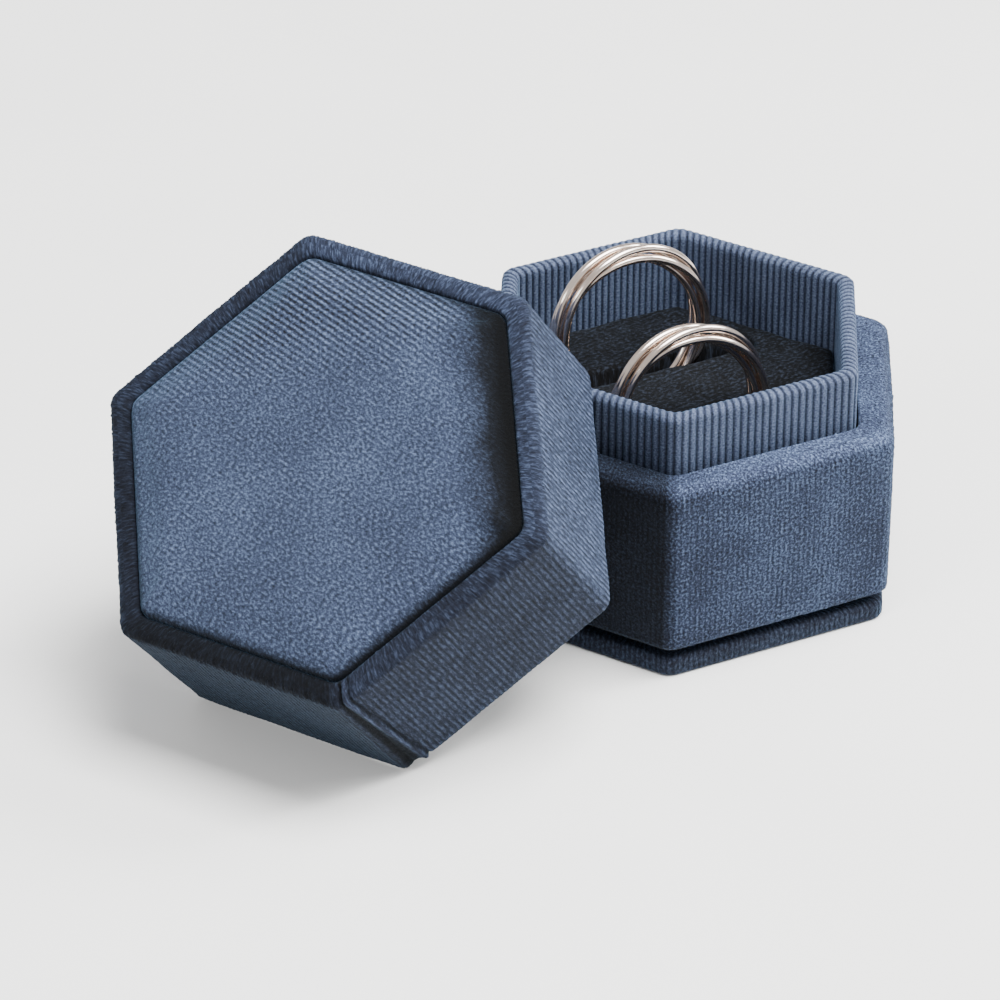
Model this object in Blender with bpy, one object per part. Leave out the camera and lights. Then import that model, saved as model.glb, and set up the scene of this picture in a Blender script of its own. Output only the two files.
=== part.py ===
"""Hexagonal velvet ring box, with its lid off and leaning on it, and two rings standing in its pad.

Frame: origin at the centre of the box's underside, +Z up, X along the two ring slots.
A hexagonal piece is given by half its width across the flats, called its flat here.
"""
import math

import bmesh
import bpy
from mathutils import Matrix, Vector

mm = 0.001

# ---- driving dimensions -------------------------------------------------------------------
GAP = 0.3 * mm                  # room between pieces that are glued or rest on each other
ACROSS_FLATS = 52.0 * mm        # box and lid, over the velvet
CORNER_RADIUS = 2.0 * mm        # every upright corner
VELVET = 0.6 * mm               # pile fabric on the outside

FLOOR_HEIGHT = 2.6 * mm         # wrapped board that the box stands on
FLOOR_INSET = 0.5 * mm          # floor edge inside the wall's face
FLOOR_VELVET = 0.5 * mm
FLOOR_TURN_IN = 5.0 * mm        # fabric folded over the floor board's top
SEAM_CARD = 0.4 * mm            # black card between floor and wall
SEAM_INSET = 1.6 * mm

WALL_HEIGHT = 21.6 * mm
WALL_PADDING = 1.0 * mm
WALL_BOARD = 2.0 * mm
WALL_HEM = 3.5 * mm             # fabric folded under the wall

COLLAR_RISE = 7.3 * mm          # collar above the wall's ledge
COLLAR_VELVET = 0.4 * mm
COLLAR_BOARD = 0.55 * mm
COLLAR_TUCK = 11.0 * mm         # collar fabric below the wall's ledge

PAD_DROP = 9.3 * mm             # pad below the collar's rim
PAD_VELVET = 0.5 * mm
PAD_SKIRT = 6.0 * mm
SUPPORT_CARD = 1.2 * mm

BACK_SLOT_Y = 6.65 * mm
FRONT_SLOT_Y = -7.45 * mm
SLOT_SIDE_CLEARANCE = 0.4 * mm
SLOT_END_CLEARANCE = 1.2 * mm
SLOT_FLOOR_CLEARANCE = 0.6 * mm

RING_RADIUS = 9.8 * mm          # to the middle of the bundle of bands
BAND_WIRE = 1.0 * mm            # thickness of one band
BAND_GAP = 0.25 * mm
BANDS = 4                       # linked bands in a ring
RING_X = -2.6 * mm
RING_LEAN = math.radians(5.0)   # top of the ring towards +Y
BACK_RING_STANDS = 5.2 * mm     # ring's centre above the pad
FRONT_RING_STANDS = 1.1 * mm

LID_HEIGHT = 22.2 * mm
COLLAR_FIT = 0.5 * mm           # room between collar and lid
LINER_FABRIC = 0.45 * mm
LINER_CARD = 0.5 * mm
LID_TOP_BOARD = 1.5 * mm
CEILING_PAD = 2.2 * mm
PANEL_RECESS = 2.0 * mm         # panel's seat below the lid's rim
PANEL_CARD = 0.8 * mm
PANEL_VELVET = 0.5 * mm
PANEL_SHOULDER = 0.2 * mm       # crown starts this far below the rim
PANEL_CROWN = 2.9 * mm
CROWN_POWER = 3.0               # 2 is an ellipse, more is boxier

RIM_OVERLAP = 2.855 * mm        # lid's open rim past the collar's edge that it lies on
LID_SIDESTEP = 15.0 * mm        # along the wall that the lid leans on
LEAN_WALL = math.radians(210.0)  # direction that this wall faces
LEAN_CLEARANCE = 0.4 * mm

# ---- worked out from them -----------------------------------------------------------------
OUTER = ACROSS_FLATS / 2
PADDING_OUTER = OUTER - VELVET - GAP
WALL_BOARD_OUTER = PADDING_OUTER - WALL_PADDING - GAP
WALL_BOARD_INNER = WALL_BOARD_OUTER - WALL_BOARD
COLLAR_OUTER = WALL_BOARD_INNER - GAP
COLLAR_BOARD_OUTER = COLLAR_OUTER - COLLAR_VELVET - GAP
COLLAR_BOARD_INNER = COLLAR_BOARD_OUTER - COLLAR_BOARD
COLLAR_INNER = COLLAR_BOARD_INNER - GAP - COLLAR_VELVET
PAD_OUTER = COLLAR_INNER - GAP
FOAM_OUTER = PAD_OUTER - PAD_VELVET - GAP

FLOOR_OUTER = OUTER - FLOOR_INSET
SEAM_BOTTOM = FLOOR_HEIGHT + GAP
WALL_BOTTOM = SEAM_BOTTOM + SEAM_CARD + GAP
WALL_TOP = WALL_BOTTOM + WALL_HEIGHT
COLLAR_TOP = WALL_TOP + COLLAR_RISE
PAD_TOP = COLLAR_TOP - PAD_DROP
SUPPORT_TOP = WALL_BOTTOM + SUPPORT_CARD

BUNDLE_RADIUS = (BAND_WIRE + BAND_GAP) / (2 * math.sin(math.pi / BANDS))
RING_THICKNESS = 2 * BUNDLE_RADIUS + BAND_WIRE
RING_OUTER = RING_RADIUS + RING_THICKNESS / 2
SLOT_WIDTH = RING_THICKNESS + 2 * SLOT_SIDE_CLEARANCE
SLOT_LENGTH = 2 * (abs(RING_X) + RING_OUTER + SLOT_END_CLEARANCE)
LOWER_RING_STANDS = min(BACK_RING_STANDS, FRONT_RING_STANDS)
SLOT_DEPTH = RING_OUTER - LOWER_RING_STANDS / math.cos(RING_LEAN) + SLOT_FLOOR_CLEARANCE

LINER_INNER = COLLAR_OUTER + COLLAR_FIT
LINER_CARD_INNER = LINER_INNER + LINER_FABRIC + GAP
LINER_CARD_OUTER = LINER_CARD_INNER + LINER_CARD
LID_BOARD_INNER = LINER_CARD_OUTER + GAP
LID_BOARD_OUTER = OUTER - VELVET - GAP
PANEL_OUTER = LID_BOARD_INNER - GAP
PANEL_SEAT = LID_HEIGHT - PANEL_RECESS
LID_BOARD_TOP = LID_HEIGHT - VELVET - GAP
LID_LEAN = math.asin(COLLAR_TOP / (2 * OUTER - RIM_OVERLAP))  # lid's tilt from level
TOP_BOARD_TOP = PANEL_SEAT - GAP
TOP_BOARD_BOTTOM = TOP_BOARD_TOP - LID_TOP_BOARD
CEILING_TOP = TOP_BOARD_BOTTOM - GAP
CEILING_BOTTOM = CEILING_TOP - CEILING_PAD
LINING_TOP = CEILING_BOTTOM - GAP
CROWN_BASE = LID_HEIGHT - PANEL_SHOULDER

CORNER_SEGMENTS = 3
FLAT_TO_CORNER = 1 / math.cos(math.radians(30.0))

# ---- scene and collections ----------------------------------------------------------------
for old in list(bpy.data.objects):
    bpy.data.objects.remove(old, do_unlink=True)

model = bpy.data.collections.new("ring_box")
cutters = bpy.data.collections.new("cutters")
for group in (model, cutters):
    bpy.context.scene.collection.children.link(group)


def move_to(obj, group):
    """Put an object in one collection only."""
    for other in list(obj.users_collection):
        other.objects.unlink(obj)
    group.objects.link(obj)


def make_material(name, colour, roughness, metallic=0.0):
    """Plain Principled material."""
    material = bpy.data.materials.new(name)
    material.use_nodes = True
    shader = material.node_tree.nodes["Principled BSDF"]
    shader.inputs["Base Color"].default_value = (*colour, 1.0)
    shader.inputs["Roughness"].default_value = roughness
    shader.inputs["Metallic"].default_value = metallic
    return material


BLUE_VELVET = make_material("blue_velvet", (0.075, 0.125, 0.21), 0.9)
RIBBED_VELVET = make_material("ribbed_velvet", (0.055, 0.095, 0.165), 0.9)
BLACK_VELVET = make_material("black_velvet", (0.012, 0.013, 0.017), 0.95)
LINING = make_material("lining", (0.045, 0.075, 0.13), 0.8)
GREYBOARD = make_material("greyboard", (0.28, 0.26, 0.23), 0.85)
BLACK_CARD = make_material("black_card", (0.015, 0.015, 0.017), 0.8)
FOAM = make_material("foam", (0.6, 0.58, 0.5), 0.95)
ROSE_GOLD = make_material("rose_gold", (0.78, 0.60, 0.50), 0.15, 1.0)


# ---- hexagonal pieces ---------------------------------------------------------------------
def outline_loop(work, flat, height):
    """Vertices of one hexagonal outline with rounded corners, at a height."""
    radius = min(CORNER_RADIUS, flat / 2)
    centre = (flat - radius) * FLAT_TO_CORNER
    verts = []
    for corner in range(6):
        bearing = math.radians(60.0) * corner
        for step in range(CORNER_SEGMENTS + 1):
            swing = bearing + math.radians(60.0) * (step / CORNER_SEGMENTS - 0.5)
            x = centre * math.cos(bearing) + radius * math.cos(swing)
            y = centre * math.sin(bearing) + radius * math.sin(swing)
            verts.append(work.verts.new((x, y, height)))
    return verts


def loft(work, upper, lower):
    """Join two outlines with a band of faces."""
    for here in range(len(upper)):
        there = (here + 1) % len(upper)
        work.faces.new((upper[here], lower[here], lower[there], upper[there]))


def hexagonal(name, profile, material, parent=None, filled=False):
    """Hexagonal piece whose cross-section is a profile of (flat, height) points.

    The profile is closed into a tube, or left open and filled flat at its first and last points.
    """
    work = bmesh.new()
    loops = [outline_loop(work, flat, height) for flat, height in profile]
    pairs = list(zip(loops, loops[1:]))
    if filled:
        work.faces.new(loops[0])
        work.faces.new(loops[-1])
    else:
        pairs.append((loops[-1], loops[0]))
    for upper, lower in pairs:
        loft(work, upper, lower)
    bmesh.ops.recalc_face_normals(work, faces=work.faces)

    mesh = bpy.data.meshes.new(name)
    work.to_mesh(mesh)
    work.free()
    mesh.materials.append(material)
    obj = bpy.data.objects.new(name, mesh)
    model.objects.link(obj)
    obj.parent = parent
    return obj


def plate(name, flat, bottom, top, material, parent=None):
    """Solid hexagonal plate."""
    return hexagonal(name, [(flat, top), (flat, bottom)], material, parent, filled=True)


def tube(name, outer, inner, bottom, top, material, parent=None):
    """Plain hexagonal tube."""
    profile = [(outer, top), (outer, bottom), (inner, bottom), (inner, top)]
    return hexagonal(name, profile, material, parent)


# ---- box: floor ---------------------------------------------------------------------------
floor_skin_inner = FLOOR_OUTER - FLOOR_VELVET
floor_fold = FLOOR_OUTER - FLOOR_TURN_IN
hexagonal("floor_velvet", [
    (floor_skin_inner, FLOOR_VELVET),
    (floor_skin_inner, FLOOR_HEIGHT - FLOOR_VELVET),
    (floor_fold, FLOOR_HEIGHT - FLOOR_VELVET),
    (floor_fold, FLOOR_HEIGHT),
    (FLOOR_OUTER, FLOOR_HEIGHT),
    (FLOOR_OUTER, 0),
], BLUE_VELVET, filled=True)
floor_margin = FLOOR_VELVET + GAP
plate("floor_board", FLOOR_OUTER - floor_margin, floor_margin, FLOOR_HEIGHT - floor_margin, GREYBOARD)
plate("seam_card", OUTER - SEAM_INSET, SEAM_BOTTOM, SEAM_BOTTOM + SEAM_CARD, BLACK_CARD)


# ---- box: padded wall ---------------------------------------------------------------------
wall_margin = VELVET + GAP
hexagonal("wall_velvet", [
    (OUTER, WALL_TOP),
    (OUTER, WALL_BOTTOM),
    (OUTER - WALL_HEM, WALL_BOTTOM),
    (OUTER - WALL_HEM, WALL_BOTTOM + VELVET),
    (OUTER - VELVET, WALL_BOTTOM + VELVET),
    (OUTER - VELVET, WALL_TOP - VELVET),
    (WALL_BOARD_INNER, WALL_TOP - VELVET),
    (WALL_BOARD_INNER, WALL_TOP),
], BLUE_VELVET)
tube("wall_padding", PADDING_OUTER, PADDING_OUTER - WALL_PADDING,
     WALL_BOTTOM + wall_margin, WALL_TOP - wall_margin, FOAM)
tube("wall_board", WALL_BOARD_OUTER, WALL_BOARD_INNER,
     WALL_BOTTOM + wall_margin, WALL_TOP - wall_margin, GREYBOARD)


# ---- box: ribbed collar -------------------------------------------------------------------
collar_foot = WALL_TOP - COLLAR_TUCK
hexagonal("collar_velvet", [
    (COLLAR_OUTER, COLLAR_TOP),
    (COLLAR_OUTER, collar_foot),
    (COLLAR_OUTER - COLLAR_VELVET, collar_foot),
    (COLLAR_OUTER - COLLAR_VELVET, COLLAR_TOP - COLLAR_VELVET),
    (COLLAR_INNER + COLLAR_VELVET, COLLAR_TOP - COLLAR_VELVET),
    (COLLAR_INNER + COLLAR_VELVET, collar_foot),
    (COLLAR_INNER, collar_foot),
    (COLLAR_INNER, COLLAR_TOP),
], RIBBED_VELVET)
tube("collar_board", COLLAR_BOARD_OUTER, COLLAR_BOARD_INNER,
     WALL_BOTTOM, COLLAR_TOP - COLLAR_VELVET - GAP, GREYBOARD)


# ---- box: ring pad ------------------------------------------------------------------------
def cut_slot(obj, slot_y, depth):
    """Cut a ring slot into a pad piece, leaning as the ring does."""
    bpy.ops.mesh.primitive_cube_add(size=1.0)
    cutter = bpy.context.object
    cutter.name = obj.name + "_slot_cutter"
    cutter.data.transform(Matrix.Diagonal((SLOT_LENGTH, SLOT_WIDTH, 2 * depth, 1.0)))
    cutter.location = (0, slot_y, PAD_TOP)
    cutter.rotation_euler = (-RING_LEAN, 0, 0)
    cutter.hide_render = True
    cutter.display_type = "WIRE"
    move_to(cutter, cutters)
    cut = obj.modifiers.new("slot", "BOOLEAN")
    cut.operation = "DIFFERENCE"
    cut.object = cutter


plate("support_card", COLLAR_BOARD_INNER - GAP, WALL_BOTTOM, SUPPORT_TOP, GREYBOARD)
pad_foam = plate("pad_foam", FOAM_OUTER, SUPPORT_TOP + GAP, PAD_TOP - PAD_VELVET - GAP, FOAM)
pad_velvet = hexagonal("pad_velvet", [
    (PAD_OUTER, PAD_TOP),
    (PAD_OUTER, PAD_TOP - PAD_SKIRT),
    (PAD_OUTER - PAD_VELVET, PAD_TOP - PAD_SKIRT),
    (PAD_OUTER - PAD_VELVET, PAD_TOP - PAD_VELVET),
], BLACK_VELVET, filled=True)
for slot_y in (BACK_SLOT_Y, FRONT_SLOT_Y):
    cut_slot(pad_foam, slot_y, SLOT_DEPTH)
    cut_slot(pad_velvet, slot_y, PAD_VELVET + GAP / 2)


# ---- rings --------------------------------------------------------------------------------
def linked_ring(name, slot_y, stands):
    """Ring of equal bands, each linked through all the others like the strands of a rope.

    Around the ring the bands' sections stay evenly spaced on a circle of BUNDLE_RADIUS. A plain round
    band does this when it is tilted about a line through its centre and shifted along that line.
    """
    seat = bpy.data.objects.new(name + "_seat", None)
    model.objects.link(seat)
    seat.location = (RING_X, slot_y + stands * math.tan(RING_LEAN), PAD_TOP + stands)
    seat.rotation_euler = (math.radians(90.0) - RING_LEAN, 0, 0)
    for number in range(BANDS):
        bpy.ops.mesh.primitive_torus_add(major_radius=RING_RADIUS, minor_radius=BAND_WIRE / 2,
                                         major_segments=40, minor_segments=10)
        band = bpy.context.object
        band.name = band.data.name = f"{name}_band_{number + 1}"
        bearing = 2 * math.pi * (number + 0.5) / BANDS
        line = Vector((math.cos(bearing), math.sin(bearing), 0))
        tilt = Matrix.Rotation(math.asin(BUNDLE_RADIUS / RING_RADIUS), 4, line)
        band.data.transform(Matrix.Translation(BUNDLE_RADIUS * line) @ tilt)
        band.data.shade_smooth()
        band.data.materials.append(ROSE_GOLD)
        band.parent = seat
        move_to(band, model)


linked_ring("back_ring", BACK_SLOT_Y, BACK_RING_STANDS)
linked_ring("front_ring", FRONT_SLOT_Y, FRONT_RING_STANDS)


# ---- lid, made standing on its open rim and then leaned on the box ------------------------
lid_seat = bpy.data.objects.new("lid_seat", None)
model.objects.link(lid_seat)

hexagonal("lid_wall_velvet", [
    (OUTER, LID_HEIGHT),
    (OUTER, 0),
    (LINER_INNER, 0),
    (LINER_INNER, VELVET),
    (OUTER - VELVET, VELVET),
    (OUTER - VELVET, LID_HEIGHT - VELVET),
    (LID_BOARD_INNER, LID_HEIGHT - VELVET),
    (LID_BOARD_INNER, LID_HEIGHT),
], RIBBED_VELVET, lid_seat)
tube("lid_wall_board", LID_BOARD_OUTER, LID_BOARD_INNER, VELVET + GAP, LID_BOARD_TOP, GREYBOARD, lid_seat)
plate("lid_top_board", LID_BOARD_INNER - GAP, TOP_BOARD_BOTTOM, TOP_BOARD_TOP, GREYBOARD, lid_seat)
tube("lid_liner_card", LINER_CARD_OUTER, LINER_CARD_INNER, VELVET + GAP, CEILING_TOP, BLACK_CARD, lid_seat)
tube("lid_liner_fabric", LINER_INNER + LINER_FABRIC, LINER_INNER,
     VELVET + GAP, CEILING_TOP, LINING, lid_seat)
plate("lid_ceiling_pad", LINER_INNER - GAP, CEILING_BOTTOM, CEILING_TOP, FOAM, lid_seat)
plate("lid_ceiling_lining", LINER_INNER - GAP, LINING_TOP - LINER_FABRIC, LINING_TOP, LINING, lid_seat)


def crown(inset):
    """Points of the panel's crown, from the middle out, at a depth below its surface."""
    steps = 7
    flat = PANEL_OUTER - inset
    rise = PANEL_CROWN - inset
    points = []
    for step in range(1, steps + 1):
        angle = math.radians(90.0) * step / steps
        across = math.sin(angle) ** (2 / CROWN_POWER)
        up = max(math.cos(angle), 0.0) ** (2 / CROWN_POWER)
        points.append((flat * across, CROWN_BASE + rise * up))
    return points


foam_inset = PANEL_VELVET + GAP
foam_bottom = PANEL_SEAT + PANEL_CARD + GAP
plate("lid_panel_card", PANEL_OUTER - foam_inset, PANEL_SEAT, PANEL_SEAT + PANEL_CARD, GREYBOARD, lid_seat)
hexagonal("lid_panel_foam",
          crown(foam_inset) + [(PANEL_OUTER - foam_inset, foam_bottom)],
          FOAM, lid_seat, filled=True)
hexagonal("lid_panel_velvet",
          crown(0) + [(PANEL_OUTER, PANEL_SEAT), (PANEL_OUTER - PANEL_VELVET, PANEL_SEAT)]
          + crown(PANEL_VELVET)[::-1],
          BLUE_VELVET, lid_seat, filled=True)

# The lid stands on the edge of its open rim, and the opposite side of this rim lies on the collar's edge.
away = Vector((math.cos(LEAN_WALL), math.sin(LEAN_WALL), 0))
along = Vector((math.sin(LEAN_WALL), -math.cos(LEAN_WALL), 0))
rim_height = OUTER * math.sin(LID_LEAN)
reach = (COLLAR_TOP - rim_height) * math.cos(LID_LEAN) + LEAN_CLEARANCE
rim_out = COLLAR_OUTER + reach / math.sin(LID_LEAN)
lid_seat.location = rim_out * away + LID_SIDESTEP * along + Vector((0, 0, rim_height))
lid_seat.rotation_mode = "AXIS_ANGLE"
lid_seat.rotation_axis_angle = (LID_LEAN, *(-along))
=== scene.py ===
"""Looks of a hexagonal velvet ring box: its lid leans on it and two rings stand in its pad."""
import math

import bmesh
import bpy
import numpy as np
from mathutils import Matrix, Quaternion, Vector, noise


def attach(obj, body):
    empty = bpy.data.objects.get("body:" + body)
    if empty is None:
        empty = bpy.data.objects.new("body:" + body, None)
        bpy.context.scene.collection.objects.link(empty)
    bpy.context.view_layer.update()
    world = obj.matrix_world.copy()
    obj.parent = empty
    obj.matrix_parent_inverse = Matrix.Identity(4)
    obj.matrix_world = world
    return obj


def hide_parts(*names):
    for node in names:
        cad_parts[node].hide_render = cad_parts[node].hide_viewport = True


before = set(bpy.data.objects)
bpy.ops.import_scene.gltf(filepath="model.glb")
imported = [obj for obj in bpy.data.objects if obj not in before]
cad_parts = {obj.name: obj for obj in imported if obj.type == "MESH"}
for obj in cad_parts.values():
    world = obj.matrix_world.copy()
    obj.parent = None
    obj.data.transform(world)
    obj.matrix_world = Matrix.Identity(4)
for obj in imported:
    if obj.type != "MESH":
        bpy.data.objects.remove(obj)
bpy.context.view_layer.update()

# ---- greyboard ------------------------------------------------------------------------------
# Grey chipboard made of recycled paper, 0.8 to 2 mm thick, scored, folded and glued into the floor,
# the walls, the collar and the lid. It is dull, with short fibres and dark flecks pressed into it.
mm = 0.001


def linear(code):
    """Linear colour of an sRGB hex value."""
    parts = [int(code[at:at + 2], 16) / 255 for at in (1, 3, 5)]
    return (*[c / 12.92 if c <= 0.04045 else ((c + 0.055) / 1.055) ** 2.4 for c in parts], 1.0)


def add(tree, kind, inputs=(), stops=(), **settings):
    """Add a node with its settings. An input is a value or the node that it is linked from."""
    made = tree.nodes.new("ShaderNode" + kind)
    for name, value in settings.items():
        setattr(made, name, value)
    for socket, value in dict(inputs).items():
        if isinstance(value, bpy.types.Node):
            value = next(out for out in value.outputs if out.enabled)
        if isinstance(value, bpy.types.NodeSocket):
            tree.links.new(value, made.inputs[socket])
        else:
            made.inputs[socket].default_value = value
    for number, (place, code) in enumerate(stops):
        steps = made.color_ramp.elements
        step = steps[number] if number < 2 else steps.new(place)
        step.position = place
        step.color = linear(code)
    return made


def surface(name, colour, bump=None, **sockets):
    """Start a material: a Principled shader with a colour, a bump and its uniform sockets."""
    material = bpy.data.materials.new(name)
    material.use_nodes = True
    tree = material.node_tree
    shader = tree.nodes["Principled BSDF"]
    for socket, value in {"Base Color": colour(tree), **sockets}.items():
        socket = socket.replace("_", " ")
        if callable(value):
            value = value(tree)
        if isinstance(value, bpy.types.Node):
            tree.links.new(next(out for out in value.outputs if out.enabled), shader.inputs[socket])
        else:
            shader.inputs[socket].default_value = value
    if bump:
        tree.links.new(bump(tree).outputs["Normal"], shader.inputs["Normal"])
    return material


def dress(node, material):
    """Give a CAD node that keeps its shape its material."""
    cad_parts[node].active_material = material


def millimetres(tree, stretch=(1, 1, 1)):
    """The object's own coordinates in millimetres, with a stretch."""
    here = add(tree, "TexCoord")
    return add(tree, "Mapping", {"Vector": here.outputs["Object"], "Scale": [s / mm for s in stretch]})


FLECK = 0.5                     # mm, the size of a dark fleck in the pulp
greyboard = surface(
    "greyboard",
    lambda t: add(t, "ValToRGB", {0: add(t, "TexNoise", {
        "Vector": millimetres(t), "Scale": 1 / FLECK, "Detail": 4.0, "Roughness": 0.7})},
        stops=[(0.3, "#5d5850"), (0.62, "#8d877b"), (0.5, "#7f796e")]),
    lambda t: add(t, "Bump", {"Strength": 0.4, "Distance": 0.05 * mm, "Height": add(t, "TexNoise", {
        "Vector": millimetres(t, (1, 1, 0.3)), "Scale": 3 / FLECK, "Detail": 3.0})}),
    Roughness=0.85)
for board in ("floor_board", "wall_board", "collar_board", "support_card",
              "lid_wall_board", "lid_top_board", "lid_panel_card"):
    dress(board, greyboard)


# ---- foam -----------------------------------------------------------------------------------
# Open-cell polyurethane foam, cut in sheets and blocks, under the wall's, lid's and pad's velvet.
# Its cells are pits about 0.4 mm across, so it is quite matte and finely pitted.
CELL = 0.4                      # mm
foam = surface(
    "polyurethane_foam",
    lambda t: add(t, "ValToRGB", {0: add(t, "TexVoronoi", {
        "Vector": millimetres(t), "Scale": 1 / CELL})}, stops=[(0.05, "#8f8974"), (0.6, "#d6cfb8")]),
    lambda t: add(t, "Bump", {"Strength": 0.8, "Distance": 0.15 * mm, "Height": add(t, "TexVoronoi", {
        "Vector": millimetres(t), "Scale": 1 / CELL})}),
    Roughness=0.95)
for padding in ("wall_padding", "pad_foam", "lid_ceiling_pad", "lid_panel_foam"):
    dress(padding, foam)


# ---- black card -----------------------------------------------------------------------------
# Black-dyed card: the recessed strip that shows as a dark line over the floor, and the lid's liner.
# It is uncoated, so it stays matte, with a faint fibre grain.
black_card = surface(
    "black_card",
    lambda t: add(t, "ValToRGB", {0: add(t, "TexNoise", {
        "Vector": millimetres(t), "Scale": 2.5, "Detail": 4.0})}, stops=[(0.3, "#08080a"), (0.7, "#151519")]),
    lambda t: add(t, "Bump", {"Strength": 0.3, "Distance": 0.03 * mm, "Height": add(t, "TexNoise", {
        "Vector": millimetres(t, (1, 1, 0.2)), "Scale": 6.0, "Detail": 2.0})}),
    Roughness=0.8)
for card in ("seam_card", "lid_liner_card"):
    dress(card, black_card)


# ---- wrapped floor --------------------------------------------------------------------------
# The board that the box stands on is wrapped in the same blue velvet as the rest, glued and turned in
# on top. The velvet is polyester knitted in fine ribs: short upright pile that is dark when looked
# straight into and blooms pale blue where it is seen at a slant.
CORNER = 2.0 * mm               # radius of every upright corner
RIB = 0.70                      # mm between the velvet's ribs
RIB_STEPS = 4                   # columns of faces to a rib
FLAT_TO_CORNER = 1 / math.cos(math.radians(30))
UPRIGHT = Matrix.Identity(4)


def measure(node, place=UPRIGHT):
    """Flat, lowest and highest level of a hexagonal CAD node, in its own upright place."""
    back = place.inverted()
    points = np.array([back @ v.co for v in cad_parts[node].data.vertices])
    bearing = math.radians(30)
    return (points[:, 0] * math.cos(bearing) + points[:, 1] * math.sin(bearing)).max(), *(
        points[:, 2].min(), points[:, 2].max())


def directions(bearing):
    return np.stack([np.cos(bearing), np.sin(bearing)], axis=-1)


class Outline:
    """A rounded hexagon with ribs spaced evenly round it. Its columns fit an outline of any flat."""

    def __init__(self, flat, pitch, steps, corner=CORNER):
        self.corner = corner
        arc = corner * math.pi / 3
        straight = 2 * (flat - corner) * math.tan(math.radians(30))
        self.length = 6 * (arc + straight)
        ribs = 6 * round((arc + straight) / pitch)
        self.count = ribs * steps
        self.along = np.arange(self.count) * self.length / self.count
        side, rest = np.divmod(self.along, arc + straight)
        self.share = np.clip((rest - arc) / straight, 0, 1)
        self.out = directions(np.radians(60 * side - 30 + 60 * np.minimum(rest / arc, 1)))
        here = directions(np.radians(60 * side))
        there = directions(np.radians(60 * side + 60))
        share = self.share[:, None]
        self.base = ((1 - share) * here + share * there) * FLAT_TO_CORNER
        self.pitch = self.length / ribs
        self.rib = np.mod(self.along / self.pitch, 1)
        self.bearing = np.degrees(np.arctan2(self.out[:, 1], self.out[:, 0])) % 360


def arc_points(start, centre, end, spacing):
    """Points along the short arc from start to end."""
    first, last = start - centre, end - centre
    radius = np.linalg.norm(first)
    angle = math.acos(np.clip(first @ last / radius ** 2, -1, 1))
    steps = max(2, math.ceil(radius * angle / spacing))
    return [centre + (math.sin(angle * (1 - k / steps)) * first + math.sin(angle * k / steps) * last)
            / math.sin(angle) for k in range(steps + 1)]


def rows_of(points, fine=0.2 * mm, closed=True):
    """Rows down a piece's cross-section, from (flat, height, corner radius, spacing that follows)."""
    count = len(points)
    corners = []
    for here, (flat, height, radius, _) in enumerate(points):
        corner = np.array((flat, height))
        before = np.array(points[here - 1][:2]) - corner
        after = np.array(points[(here + 1) % count][:2]) - corner
        if not radius or (not closed and here in (0, count - 1)):
            corners.append([corner])
            continue
        before, after = before / np.linalg.norm(before), after / np.linalg.norm(after)
        half = math.acos(np.clip(before @ after, -1, 1)) / 2
        middle = (before + after) / np.linalg.norm(before + after)
        centre = corner + middle * radius / math.sin(half)
        back = radius / math.tan(half)
        corners.append(arc_points(corner + before * back, centre, corner + after * back, fine))
    rows = []
    for here in range(count):
        rows += corners[here]
        if closed or here < count - 1:
            end, start = corners[here][-1], corners[(here + 1) % count][0]
            steps = max(1, math.ceil(np.linalg.norm(start - end) / points[here][3]))
            rows += [end + (start - end) * k / steps for k in range(1, steps)]
    return np.array(rows)


def mesh_object(name, points, faces, uvs, place, material):
    """Smooth mesh object with a map of the cloth in metres, moved to its place."""
    mesh = bpy.data.meshes.new(name)
    mesh.from_pydata(points.tolist(), [], faces)
    mesh.uv_layers.new(name="cloth").data.foreach_set("uv", np.asarray(uvs, np.float32).ravel())
    mesh.shade_smooth()
    mesh.materials.append(material)
    mesh.transform(place)
    made = bpy.data.objects.new(name, mesh)
    bpy.context.collection.objects.link(made)
    return made


def store_painted_shading(made, painted_shading, ribbing):
    """Store the painted light and shade that scales the pile's colour, and how far the ribs show, at each
    point.
    """
    for name, values in (("painted_shading", painted_shading), ("ribbing", ribbing)):
        made.data.attributes.new(name, "FLOAT", "POINT").data.foreach_set(
            "value", np.asarray(values, np.float32).ravel())


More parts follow.
